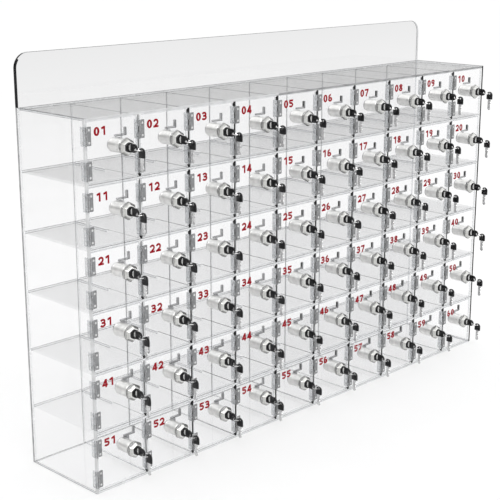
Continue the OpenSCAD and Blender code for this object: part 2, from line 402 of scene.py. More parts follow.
UPRIGHT_FACE = ClearSheet("clear_upright_sheet", (0.992, 0.992, 0.993))
# The back plate's tint darkens with height: painted shade.
BACK_FACE = PaintedShadeSheet("clear_back_sheet", (0.982, 0.982, 0.983))
# Same clear sheet as the uprights: the darker tint of shelves and top is painted shade, the lighter tint of
# the bottom is painted light.
LEVEL_FACE = ClearSheet("clear_level_sheet", (0.965, 0.966, 0.967), 0.6, 0.015)
BOTTOM_FACE = ClearSheet("clear_bottom_sheet", (0.992, 0.992, 0.993), 0.3, 0.01)
DOOR_FACE = ClearSheet("clear_door_sheet", (0.996, 0.996, 0.997), 0.15)
# The strike block's dark tint is painted shade for the refraction through its thickness.
STRIKE_FACE = ClearSheet("clear_strike_block", (0.7, 0.702, 0.705), 0.2)
# Rim finishes: their greys and blacks are painted shade for the dark look that refraction gives clear edges;
# the pale front rim is painted light.
STRIKE_RIM = SheetRim("strike_rim", (0.28, 0.282, 0.285), (0.42, 0.422, 0.425), 0.75)
CLEAR_RIM = SheetRim("polished_clear_rim", (0.6, 0.61, 0.62), (0.8, 0.81, 0.815), 0.3)
FRONT_RIM = SheetRim("pale_front_rim", (0.46, 0.465, 0.47), (0.58, 0.585, 0.59), 0.85)
DARK_LINE = SheetRim("dark_rim_line", (0.03, 0.03, 0.032), (0.08, 0.081, 0.083), 0.9, 0.15)
SOFT_LINE = SheetRim("soft_rim_line", (0.16, 0.162, 0.165), (0.3, 0.303, 0.306), 0.85)
PAINTED_SHADE_RIM = SheetRim("painted_shade_rim", (0.004, 0.004, 0.005), (0.012, 0.012, 0.013), 0.99, 0.08)

# Line widths size the painted dark lines along each rim; dividers after the first get a wider one.
UPRIGHT = Sheet(UPRIGHT_FACE, CLEAR_RIM, DARK_LINE, DARK_LINE, (0.9 * MM, 0.1 * MM), 3 * MM)
DARK_UPRIGHT = Sheet(UPRIGHT_FACE, CLEAR_RIM, DARK_LINE, DARK_LINE, (2.1 * MM, 0.1 * MM), 3 * MM)
BACK = Sheet(BACK_FACE, CLEAR_RIM, DARK_LINE, DARK_LINE, (0.5 * MM, 0.5 * MM), 2.4 * MM)
LEVEL = Sheet(LEVEL_FACE, CLEAR_RIM, DARK_LINE, SOFT_LINE, (0.25 * MM, 0.5 * MM))
BOTTOM = Sheet(BOTTOM_FACE, CLEAR_RIM, SOFT_LINE, SOFT_LINE, (0.25 * MM, 0.5 * MM))
DOOR = Sheet(DOOR_FACE, CLEAR_RIM, CLEAR_RIM)
STRIKE = Sheet(STRIKE_FACE, STRIKE_RIM, SOFT_LINE)

BRIGHT_PLATE = Solid("bright_nickel_plate", (0.62, 0.62, 0.61), (0.74, 0.74, 0.73), 1.0, 0.12, 0.22, 300)
# A darker copy of the bright plate for the bezel's sloping front: painted shade.
SHADED_BEZEL_PLATE = Solid("shaded_bezel_plate", (0.48, 0.48, 0.465), (0.6, 0.6, 0.585), 1.0, 0.14, 0.22, 350)
POLISHED_NOSE = Solid("polished_plug_nose", (0.88, 0.88, 0.87), (0.96, 0.96, 0.95), 1.0, 0.1, 0.18, 500)
# Near-black bands on the bezel's outer arris and at its foot on the door: painted shade and painted contact
# shadow.
BEZEL_SHADE_LINE = Solid("bezel_painted_shade", (0.05, 0.05, 0.05), (0.1, 0.1, 0.1), 1.0, 0.3, 0.4, 400)
SATIN_PLATE = Solid("satin_barrel_plate", (0.66, 0.657, 0.645), (0.8, 0.797, 0.78), 1.0, 0.32, 0.4, 120)
CAM_PLATE = Solid("zinc_cam_plate", (0.3, 0.3, 0.31), (0.42, 0.42, 0.43), 1.0, 0.3, 0.45, 250)
COAL: tuple[Colour, Colour] = ((0.005, 0.005, 0.006), (0.012, 0.012, 0.013))
BLACK_COLLAR = Solid("black_collar_plastic", *COAL, 0.0, 0.2, 0.32, 900, shine=0.3)
BLACK_BOW = Solid("black_bow_plastic", *COAL, 0.0, 0.25, 0.4, 1200, shine=0.25)
BLADE_STEEL = Solid("plated_blade", (0.55, 0.55, 0.55), (0.68, 0.68, 0.68), 1.0, 0.18, 0.3, 350, (1, 1, 0.2))
RING_STEEL = Solid("ring_wire", (0.7, 0.7, 0.7), (0.82, 0.82, 0.82), 1.0, 0.12, 0.22, 600)
SCREW_STEEL = Solid("screw_plate", (0.6, 0.6, 0.6), (0.78, 0.78, 0.78), 0.6, 0.25, 0.4, 800)
RED_INK = Solid("red_ink", (0.22, 0.002, 0.008), (0.3, 0.003, 0.011), 0.0, 0.6, 0.75, 700, shine=0.08)
LEAF_PLASTIC = HingePlastic("smoky_door_leaf", (0.25, 0.255, 0.26), 0.82)
WALL_PLASTIC = HingePlastic("clear_wall_leaf", (0.72, 0.725, 0.73), 0.3)
KNUCKLE_PLASTIC = HingePlastic("clear_knuckle", (0.75, 0.755, 0.76), 0.14, (0.96, 0.962, 0.965))
PIN_STEEL = Solid("hinge_pin_steel", (0.06, 0.06, 0.06), (0.1, 0.1, 0.1), 1.0, 0.3, 0.4, 500)
PALE_FLOOR = PaleFloor("pale_floor")


# Outlines


def circle(radius: float, sides: int, centre: Point = (0.0, 0.0)) -> Loop:
    """Gives a circle's points, anticlockwise."""
    turns = [2 * math.pi * i / sides for i in range(sides)]
    return [(centre[0] + radius * math.cos(a), centre[1] + radius * math.sin(a)) for a in turns]


def arc(centre: Point, radii: Point, start: float, stop: float, steps: int) -> Loop:
    """Gives points on an arc of an ellipse.

    Args:
        centre: The ellipse's centre.
        radii: Its half width and half height.
        start: First angle, in degrees.
        stop: Last angle, in degrees.
        steps: Number of chords.

    Returns:
        The points, ends included.
    """
    angles = [math.radians(start + (stop - start) * i / steps) for i in range(steps + 1)]
    return [(centre[0] + radii[0] * math.cos(a), centre[1] + radii[1] * math.sin(a)) for a in angles]


def quarter(centre: Point, radius: float, start: float, steps: int = 4) -> Loop:
    """Gives the points of a round corner that starts at an angle."""
    return arc(centre, (radius, radius), start, start + 90, steps)


def rectangle(low: Point, high: Point, radius: float = 0.0, steps: int = 4) -> Loop:
    """Gives a rectangle, anticlockwise, with its corners rounded where a radius is given."""
    if radius <= 0:
        return [low, (high[0], low[1]), high, (low[0], high[1])]
    corners = [
        ((high[0] - radius, low[1] + radius), -90),
        ((high[0] - radius, high[1] - radius), 0),
        ((low[0] + radius, high[1] - radius), 90),
        ((low[0] + radius, low[1] + radius), 180),
    ]
    return [point for centre, start in corners for point in quarter(centre, radius, start, steps)]


def chamfered_hexagon(radius: float, cap: float, steps: int) -> Loop:
    """Gives a hexagon with a corner up, cut by a circle.

    Args:
        radius: Centre to corner.
        cap: Radius of the circle that cuts the corners.
        steps: Points to a side.

    Returns:
        The outline, anticlockwise.
    """
    between = 60
    half = between / 2
    flat = radius * math.cos(math.radians(half))
    loop = []
    for i in range(6 * steps):
        angle = between * i / steps
        reach = min(flat / math.cos(math.radians(angle % between - half)), cap)
        turn = math.radians(angle + half)
        loop.append((reach * math.cos(turn), reach * math.sin(turn)))
    return loop


def inset(loop: Loop, distance: float) -> Loop:
    """Moves every side of an outline to its left, which is inwards on an anticlockwise one."""
    if distance == 0:
        return list(loop)
    count = len(loop)
    moved = []
    for i, here in enumerate(loop):
        before, after = Vector(loop[i - 1]), Vector(loop[(i + 1) % count])
        into, out = (Vector(here) - before).normalized(), (after - Vector(here)).normalized()
        normals = Vector((-into.y, into.x)), Vector((-out.y, out.x))
        middle = normals[0] + normals[1]
        reach = distance * 2 / max(middle.length_squared, BLUNTEST_INSET)
        moved.append((here[0] + middle.x * reach, here[1] + middle.y * reach))
    return moved


def ribbon(path: Loop, width: float) -> Loop:
    """Gives the outline of a stroke of even width along an open path."""
    sides: tuple[Loop, Loop] = ([], [])
    for i, here in enumerate(path):
        before, after = Vector(path[max(i - 1, 0)]), Vector(path[min(i + 1, len(path) - 1)])
        into, out = Vector(here) - before, after - Vector(here)
        into = (into if into.length > 0 else out).normalized()
        out = (out if out.length > 0 else into).normalized()
        middle = Vector((-into.y - out.y, into.x + out.x))
        reach = width / max(middle.length_squared, BLUNTEST_STROKE)
        for side, sign in zip(sides, (1, -1)):
            side.append((here[0] + sign * middle.x * reach, here[1] + sign * middle.y * reach))
    return sides[1] + sides[0][::-1]


# Shapes


def hang(name: str, data: bpy.types.ID) -> bpy.types.Object:
    """Makes an object of a mesh, a light or a camera and puts it in the scene."""
    thing = bpy.data.objects.new(name, data)
    bpy.context.scene.collection.objects.link(thing)
    return thing


@dataclass
class Shape:
    """A growing mesh: its points, its faces and the finish of each face."""

    points: list[Vector] = field(default_factory=list)
    faces: list[tuple[int, ...]] = field(default_factory=list)
    finishes: list[Finish] = field(default_factory=list)

    def ring(self, loop: Loop, plane: Plane, height: float) -> list[int]:
        """Adds an outline's points at a height and gives their numbers."""
        start = len(self.points)
        self.points.extend(plane.place(u, v, height) for u, v in loop)
        return list(range(start, len(self.points)))

    def face(self, corners: Sequence[int], finish: Finish) -> None:
        """Adds one face."""
        self.faces.append(tuple(corners))
        self.finishes.append(finish)

    def bridge(self, low: list[int], high: list[int], finish: Finish) -> None:
        """Joins two rings of as many points by a band of faces."""
        for i in range(len(low)):
            j = (i + 1) % len(low)
            self.face((low[i], low[j], high[j], high[i]), finish)

    def cap(self, rings: list[list[int]], finish: Finish) -> None:
        """Closes an outline and its holes with flat faces."""
        if len(rings) == 1:
            self.face(rings[0], finish)
            return
        numbers = [n for ring in rings for n in ring]
        for triangle in tessellate_polygon([[self.points[n] for n in ring] for ring in rings]):
            self.face([numbers[i] for i in triangle], finish)

    def loft(self, plane: Plane, levels: list[tuple[float, list[Loop]]], finishes: Sequence[Finish]) -> None:
        """Builds a closed solid through outlines at rising heights.

        Args:
            plane: The outlines' plane.
            levels: Heights, each with an outline and its holes.
            finishes: The finish of the lower cap, of each band and of the upper cap.
        """
        rings = [[self.ring(loop, plane, height) for loop in loops] for height, loops in levels]
        self.cap(rings[0], finishes[0])
        for low, high, finish in zip(rings, rings[1:], finishes[1:]):
            for a, b in zip(low, high):
                self.bridge(a, b, finish)
        self.cap(rings[-1], finishes[-1])

    def extrude(
        self, plane: Plane, outline: Loop, low: float, high: float, edge: float, sheet: Sheet,
        holes: Sequence[Loop] = (), steps: int = 1,
    ) -> None:
        """Builds a plate with softened edges.

        Args:
            plane: The outline's plane.
            outline: The plate's outline, anticlockwise.
            low: Height of its lower face.
            high: Height of its upper face.
            edge: Size of the softened edge.
            sheet: Finishes of its faces, rim and arris.
            holes: Outlines of its holes, anticlockwise.
            steps: 1 for a chamfer, more for a rounded edge.
        """
        loops = [outline] + [hole[::-1] for hole in holes]
        turns = [math.pi / 2 * i / steps for i in range(steps + 1)]
        rim = [(edge * (1 - math.sin(t)), edge * (1 - math.cos(t))) for t in turns]
        lower = [(low + rise, [inset(loop, back) for loop in loops]) for back, rise in rim]
        upper = [(high - rise, [inset(loop, back) for loop in loops]) for back, rise in reversed(rim)]
        middle, bands = [], [sheet.rim]
        if sheet.line is not None:
            near, far = sheet.line_widths
            middle = [(low + edge + near, loops), (high - edge - far, loops)]
            bands = [sheet.line, sheet.rim, sheet.line]
        levels, soft, faces = lower + middle + upper, [sheet.arris] * steps, [sheet.face]
        if sheet.border > 0:
            inner = [inset(loop, edge + sheet.border) for loop in loops]
            levels, faces = [(low, inner)] + levels + [(high, inner)], [sheet.face] * 2
        self.loft(plane, levels, faces + soft + bands + soft + faces)

    def turn(self, plane: Plane, centre: Point, profile: Loop, sides: int, finish: Finish) -> None:
        """Turns a profile of radius and height round an axis. It closes on itself or at radius 0.

        Args:
            plane: The plane square to the axis.
            centre: The axis's place in it.
            profile: Radius and height of each point.
            sides: Number of flats round the axis.
            finish: The surface's finish.
        """
        solid = profile[0][0] == 0
        body = profile[1:-1] if solid else profile
        rings = [self.ring(circle(r, sides, centre), plane, h) for r, h in body]
        if solid:
            self.face(rings[0], finish)
            self.face(rings[-1], finish)
        for low, high in zip(rings, rings[1:]):
            self.bridge(low, high, finish)
        if not solid:
            self.bridge(rings[-1], rings[0], finish)

    def wire(self, path: list[Vector], up: Vector, radius: float, sides: int, finish: Finish) -> None:
        """Sweeps a round wire along an open path that keeps roughly square to a direction.

        Args:
            path: The wire's middle line.
            up: The direction that it keeps square to.
            radius: The wire's radius.
            sides: Number of flats round the wire.
            finish: Its finish.
        """
        rings = []
        for i, here in enumerate(path):
            ahead = (path[min(i + 1, len(path) - 1)] - path[max(i - 1, 0)]).normalized()
            across = ahead.cross(up).normalized()
            rise = across.cross(ahead)
            start = len(self.points)
            self.points.extend(here + across * u + rise * v for u, v in circle(radius, sides))
            rings.append(list(range(start, len(self.points))))
        self.face(rings[0], finish)
        for low, high in zip(rings, rings[1:]):
            self.bridge(low, high, finish)
        self.face(rings[-1], finish)

    def dress(self, finish: Finish, chosen: Callable[[Vector], bool]) -> None:
        """Gives another finish to the faces whose middle passes a test."""
        for i, corners in enumerate(self.faces):
            if chosen(sum((self.points[n] for n in corners), Vector()) / len(corners)):
                self.finishes[i] = finish

    def merge(self, other: "Shape", offset: Vector) -> None:
        """Adds a moved copy of another shape."""
        start = len(self.points)
        self.points.extend(point + offset for point in other.points)
        self.faces.extend(tuple(n + start for n in face) for face in other.faces)
        self.finishes.extend(other.finishes)

    def piece(self, name: str, body: str, replaces: Sequence[str] = (), slot: str = "") -> bpy.types.Object:
        """Makes the shape one piece of the model.

        Args:
            name: The piece's name.
            body: The body that it rides on.
            replaces: Frame nodes that it stands for.
            slot: The record's material slot, if it has one; not used.

        Returns:
            The new object.
        """
        mesh = bpy.data.meshes.new(name)
        mesh.from_pydata(self.points, [], self.faces)
        kinds = list(dict.fromkeys(self.finishes))
        for finish in kinds:
            mesh.materials.append(finish.material())
        numbers = {finish: i for i, finish in enumerate(kinds)}
        mesh.polygons.foreach_set("material_index", [numbers[f] for f in self.finishes])
        made = bmesh.new()
        made.from_mesh(mesh)
        bmesh.ops.recalc_face_normals(made, faces=made.faces)
        made.to_mesh(mesh)
        made.free()
        mesh.polygons.foreach_set("use_smooth", [True] * len(mesh.polygons))
        mesh.set_sharp_from_angle(angle=SHARP_TURN)
        thing = hang(name, mesh)
        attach(thing, body)
        if replaces:
            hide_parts(*replaces)
        log.info("%s: %d faces", name, len(mesh.polygons))
        return thing


def scatter(shapes: Sequence[Shape], spots: Sequence[Vector]) -> Shape:
    """Gives one shape with a copy of every given shape at every spot."""
    joined = Shape()
    for spot in spots:
        for shape in shapes:
            joined.merge(shape, spot)
    return joined


# Places


@dataclass(frozen=True)
class Grid:
    """The compartments' places, read from the frame's panels."""

    first: Vector
    pitch: Vector
    columns: int
    rows: int
    cell: Vector
    wall: float

    @classmethod
    def measured(cls) -> "Grid":
        """Reads the grid from the frame."""
        columns = 1 + sum(name.startswith("divider_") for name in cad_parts)
        rows = 1 + sum(name.startswith("shelf_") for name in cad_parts)
        side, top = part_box("left_side_panel"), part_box("top_panel")
        divider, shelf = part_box("divider_1"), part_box("shelf_1")
        pitch = Vector((divider[1].x - side[1].x, 0, top[0].z - shelf[0].z))
        cell = Vector((divider[0].x - side[1].x, side[1].y - side[0].y, top[0].z - shelf[1].z))
        first, wall = Vector((side[1].x, side[0].y, shelf[1].z)), side[1].x - side[0].x
        return cls(first, pitch, columns, rows, cell, wall)

    def corner(self, column: int, row: int) -> Vector:
        """Gives the front lower hinge-side corner of an opening, counted from 1."""
        return self.first + Vector((self.pitch.x * (column - 1), 0, -self.pitch.z * (row - 1)))

    def place(self, node: str) -> tuple[Vector, Vector]:
        """Gives a node's box, measured from the corner of the first opening."""
        low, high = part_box(node)
        return low - self.first, high - self.first

    def middle(self, node: str) -> Vector:
        """Gives the middle of a node's box, measured from the corner of the first opening."""
        return sum(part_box(node), Vector()) / 2 - self.first

    def corners(self, columns: Sequence[int]) -> list[Vector]:
        """Gives the corners of every opening in the given columns."""
        return [self.corner(column, row) for column in columns for row in range(1, self.rows + 1)]


@dataclass(frozen=True)
class Group:
    """Doors that swing as one body: the rows of a column, or the first door by itself."""

    column: int
    rows: tuple[int, ...]
    body: str
    tag: str

    def spots(self, grid: Grid) -> list[Vector]:
        """Gives the corners of the group's openings."""
        return [grid.corner(self.column, row) for row in self.rows]


def door_groups(grid: Grid) -> list[Group]:
    """Lists the first door and then every column of doors."""
    groups = [Group(1, (1,), FIRST_DOOR, FIRST_DOOR)]
    for column in range(1, grid.columns + 1):
        first = 2 if column == 1 else 1
        rows = tuple(range(first, grid.rows + 1))
        groups.append(Group(column, rows, f"doors_column_{column:02d}", f"column_{column:02d}"))
    return groups


@dataclass(frozen=True)
class Part:
    """One of the parts that each door carries, with what it is called on the first door."""

    name: str
    shape: Shape
    body: str
    node: str
    slot: str


def hand_out(
    grid: Grid, groups: list[Group], parts: list[Part], joined: tuple[str, str, str], offset: Vector,
) -> None:
    """Puts a set of parts on every door, apart on the first door and joined on each column.

    Args:
        grid: The compartments' places.
        groups: The groups of doors.
        parts: The set's parts as they are on the first door.
        joined: Endings of a joined piece's name and of its node, and its slot.
        offset: The set's place from the corner of an opening.
    """
    name, node, slot = joined
    for group in groups:
        spots = [spot + offset for spot in group.spots(grid)]
        if group.tag == FIRST_DOOR:
            for part in parts:
                scatter([part.shape], spots).piece(part.name, part.body, [part.node], part.slot)
            continue
        shape = scatter([part.shape for part in parts], spots)
        shape.piece(f"{group.tag}_{name}", group.body, [f"{group.tag}_{node}"], slot)


# Sub-assemblies


@dataclass
class Cabinet:
    """The case of clear sheet: back plate, sides, top, bottom, shelves and dividers."""

    grid: Grid
    arris: float = 0.35 * MM
    skin: float = 0.035 * MM
    slot_play: float = 0.2 * MM
    crest_radius: float = 24 * MM
    crest_steps: int = 16
    crest_turns: Point = (45, 75)
    # Heights over each shelf that bound the painted shade on the dividers' front edges
    dark_foot: float = 6 * MM
    dark_head: float = 85 * MM
    foot_dot: float = 4.5 * MM

    def plate(self, name: str, plane: Plane, sheet: Sheet, outline: Loop) -> Shape:
        """Shapes one panel in the place of its node.

        Args:
            name: The node's name.
            plane: The plane that it lies in.
            sheet: Its finishes.
            outline: Its outline in that plane.

        Returns:
            The panel's shape.
        """
        low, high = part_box(name)
        axis = plane.value[2]
        shape = Shape()
        shape.extrude(plane, outline, low[axis], high[axis], self.arris, sheet)
        return shape

    def finish(self, name: str, shape: Shape) -> None:
        """Puts a panel in the place of its node."""
        shape.piece(f"{name}_sheet", "cabinet", [name], "cabinet_acrylic")

    def plain(self, name: str, plane: Plane, sheet: Sheet) -> Shape:
        """Shapes a plain rectangular panel."""
        low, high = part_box(name)
        u, v = plane.value[:2]
        return self.plate(name, plane, sheet, rectangle((low[u], low[v]), (high[u], high[v])))

    def back(self) -> None:
        """Builds the back plate with its two rounded corners and the painted shade on its edge above the
        left side.
        """
        low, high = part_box("back_panel")
        radius, top = self.crest_radius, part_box("top_panel")[1].z
        outline = [(low.x, low.z), (high.x, low.z), (high.x, top)]
        for middle, start in ((high.x - radius, 0), (low.x + radius, 90)):
            outline += quarter((middle, high.z - radius), radius, start, self.crest_steps)
        outline.append((low.x, top))
        shape = self.plate("back_panel", Plane.XZ, BACK, outline)
        centre = Vector((low.x + radius, 0, high.z - radius))
        reach = self.arris + BACK.border
        bend, end = (radius * math.cos(math.radians(turn)) for turn in self.crest_turns)

        def on_left_edge(middle: Vector) -> bool:
            """Tells whether a face lies on the crest's left edge or the lower part of its corner."""
            if middle.z < centre.z:
                return middle.z > top and middle.x < low.x + reach
            out = Vector((middle.x - centre.x, 0, middle.z - centre.z)).length
            wide = reach if middle.x < centre.x - bend else 2 * self.arris
            return middle.x < centre.x - end and radius - wide < out < radius + self.arris

        # Painted shade on the left edge below the top and along the crest's left edge; the right edge below
        # the top is made clear.
        shape.dress(SOFT_LINE, lambda middle: middle.z < top and middle.x < low.x + self.arris)
        shape.dress(CLEAR_RIM, lambda middle: middle.z < top and middle.x > high.x - self.arris)
        shape.dress(PAINTED_SHADE_RIM, on_left_edge)
        self.finish("back_panel", shape)

    def shelf(self, number: int) -> None:
        """Builds a shelf, slotted from behind for every divider."""
        low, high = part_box(f"shelf_{number}")
        middle = (low.y + high.y) / 2 - self.slot_play / 2
        outline = [(low.x, low.y), (high.x, low.y)]
        for i in range(self.grid.columns - 1, 0, -1):
            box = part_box(f"divider_{i}")
            left, right = box[0].x - self.slot_play / 2, box[1].x + self.slot_play / 2
            if i == self.grid.columns - 1:
                outline.append((high.x, high.y))
            outline += [(right, high.y), (right, middle), (left, middle), (left, high.y)]
        outline.append((low.x, high.y))
        shape = self.plate(f"shelf_{number}", Plane.XY, LEVEL, outline)
        shape.dress(LEVEL_FACE, lambda face: abs(face.y - middle) < self.arris)
        upper = high.z - 2 * self.arris
        for i in range(1, self.grid.columns):
            left, right = (side.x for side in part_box(f"divider_{i}"))

            def beside(face: Vector, side: float) -> bool:
                """Tells whether a face lines a slot on one side of its divider."""
                return face.y > middle and abs(face.x - side) < 2 * self.arris

            # Slots: clear on the divider's right side, a painted dark line along the upper left edge.
            shape.dress(LEVEL_FACE, lambda face, side=right: beside(face, side))
            shape.dress(DARK_LINE, lambda face, side=left: beside(face, side) and face.z > upper)
        self.finish(f"shelf_{number}", shape)

    def dress_front(self, shape: Shape, number: int, sheet: Sheet) -> None:
        """Dresses a divider's front edge with painted light and shade: pale on the first, dark between its
        joints on the others.
        """
        low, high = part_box(f"divider_{number}")
        front, rear = low.y + self.arris, high.y - self.arris
        edge = low.x + self.arris + sheet.line_widths[0]
        floor = self.grid.corner(1, self.grid.rows).z

        def at_joint(middle: Vector) -> bool:
            """Tells whether a face next to the front edge lies just over or under a shelf."""
            height = (middle.z - floor) % self.grid.pitch.z
            head = number > 1 and self.dark_head < height < self.grid.cell.z
            near = middle.y < (front + UPRIGHT.border if middle.x < edge else front)
            return near and (head or height < self.foot_dot)

        skin, far = low.x + self.skin, high.x - self.arris - sheet.line_widths[1]
        # The front edge's tones are painted light and shade: a clear far side, a pale first divider, a black
        # near strip and black at the joints.
        shape.dress(CLEAR_RIM, lambda middle: far < middle.x < high.x - self.skin)
        shape.dress(SOFT_LINE, lambda middle: middle.y > rear and low.x + self.arris < middle.x < edge)
        strip = front + (UPRIGHT.border if number == 1 else 0.0)
        pale = FRONT_RIM if number == 1 else SOFT_LINE
        shape.dress(pale, lambda middle: middle.y < (strip if middle.x < skin else front))
        shape.dress(PAINTED_SHADE_RIM, lambda middle: middle.y < front and middle.x < edge)
        shape.dress(PAINTED_SHADE_RIM, at_joint)

    def dress_slots(self, shape: Shape, number: int, sheet: Sheet) -> None:
        """Dresses a divider's slots clear, but for one painted dark line along their upper left edge."""
        low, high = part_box(f"divider_{number}")
        front, end = low.y + self.arris, (low.y + high.y) / 2 + self.slot_play + self.arris
        edge = low.x + self.arris + sheet.line_widths[0]
        for i in range(1, self.grid.rows):
            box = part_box(f"shelf_{i}")

            def in_slot(middle: Vector, bottom: float = box[0].z, top: float = box[1].z) -> bool:
                """Tells whether a face lines the slot and isn't its upper left edge."""
                reach = top if middle.x < edge else top + 2 * self.arris
                return front < middle.y < end and bottom - 2 * self.arris < middle.z < reach

            shape.dress(UPRIGHT_FACE, in_slot)

    def divider(self, number: int) -> None:
        """Builds a divider, slotted from the front for every shelf."""
        low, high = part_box(f"divider_{number}")
        middle = (low.y + high.y) / 2 + self.slot_play / 2
        outline = [(low.y, low.z), (high.y, low.z), (high.y, high.z), (low.y, high.z)]
        for i in range(1, self.grid.rows + 1):
            floor = self.grid.corner(1, i).z
            # Points where the painted shade on the front edge starts and stops
            outline += [(low.y, floor + rise) for rise in (self.dark_head, self.dark_foot, self.foot_dot)]
            if i < self.grid.rows:
                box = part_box(f"shelf_{i}")
                bottom, top = box[0].z - self.slot_play / 2, box[1].z + self.slot_play / 2
                outline += [(low.y, top), (middle, top), (middle, bottom), (low.y, bottom)]
        # Dividers after the first get a wider painted dark line
        sheet = UPRIGHT if number == 1 else DARK_UPRIGHT
        shape = self.plate(f"divider_{number}", Plane.YZ, sheet, outline)
        self.dress_front(shape, number, sheet)
        self.dress_slots(shape, number, sheet)
        self.finish(f"divider_{number}", shape)

    def side(self, name: str, front_finish: Finish) -> None:
        """Builds a side panel and dresses its front edge, with the strip beside it, in the painted tone that
        is given.
        """
        low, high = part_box(name)
        front, outer = low.y + self.arris, low.x + self.skin
        shape = self.plain(name, Plane.YZ, UPRIGHT)
        rear, inner = high.y - self.arris, low.x + self.arris
        shape.dress(CLEAR_RIM, lambda middle: middle.y > rear and middle.x > inner)
        strip = front + (UPRIGHT.border if front_finish == FRONT_RIM else 0.0)
        shape.dress(front_finish, lambda middle: middle.y < (strip if middle.x < outer else front))
        self.finish(name, shape)

    def level(self, name: str, sheet: Sheet) -> None:
        """Builds the bottom panel, or the top one, whose front edge is painted pale and, from one column on,
        painted dark.
        """
        low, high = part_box(name)
        marks = [(self.grid.corner(i, 1).x, low.y) for i in range(2, self.grid.columns + 1)]
        outline = [(low.x, low.y), *marks, (high.x, low.y), (high.x, high.y), (low.x, high.y)]
        shape = self.plate(name, Plane.XY, sheet, outline)
        front, turn = low.y + self.arris, self.grid.corner(DARK_FROM, 1).x
        if sheet is BOTTOM:
            # The bottom's left and rear rims are made clear, without painted rim shade.
            side, rear = low.x + self.arris, high.y - self.arris
            shape.dress(sheet.face, lambda middle: middle.x < side or middle.y > rear)
        else:
            # Painted light on the top's front edge, and painted shade on it from column DARK_FROM on.
            shape.dress(FRONT_RIM, lambda middle: middle.y < front)
            shape.dress(SOFT_LINE, lambda middle: middle.y < front and middle.x > turn)
        self.finish(name, shape)

    def build(self) -> None:
        """Builds every panel of the case."""
        self.back()
        # Painted light on the left side's front edge, painted shade on the right's.
        self.side("left_side_panel", FRONT_RIM)
        self.side("right_side_panel", PAINTED_SHADE_RIM)
        self.level("top_panel", LEVEL)
        self.level("bottom_panel", BOTTOM)
        for number in range(1, self.grid.rows):
            self.shelf(number)
        for number in range(1, self.grid.columns):
            self.divider(number)


@dataclass
class Strike:
    """The clear L on the divider that the turned cam catches on."""

    grid: Grid
    upright: float = 4 * MM
    foot_length: float = 22 * MM
    foot_height: float = 3 * MM
    height: float = 12.5 * MM
    depth: float = 3.5 * MM
    arris: float = 0.3 * MM

    def build(self) -> None:
        """Builds the strikes of all compartments as one piece."""
        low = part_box("strikes")[0] - self.grid.corner(1, self.grid.rows)
        right = self.grid.cell.x
        outline = [
            (right - self.foot_length, low.z), (right, low.z), (right, low.z + self.height),
            (right - self.upright, low.z + self.height), (right - self.upright, low.z + self.foot_height),
            (right - self.foot_length, low.z + self.foot_height),
        ]
        one = Shape()
        one.extrude(Plane.XZ, outline, low.y, low.y + self.depth, self.arris, STRIKE)
        # Strikes from column DARK_FROM on get painted shade along the upright's inner edge.
        pale_columns, dark_columns = range(1, DARK_FROM), range(DARK_FROM, self.grid.columns + 1)
        shape = scatter([one], self.grid.corners(pale_columns))
        one.dress(PAINTED_SHADE_RIM, lambda middle: abs(middle.x - right + self.upright) < self.arris)
        shape.merge(scatter([one], self.grid.corners(dark_columns)), Vector())
        shape.piece("strike_blocks", "cabinet", ["strikes"], "cabinet_acrylic")


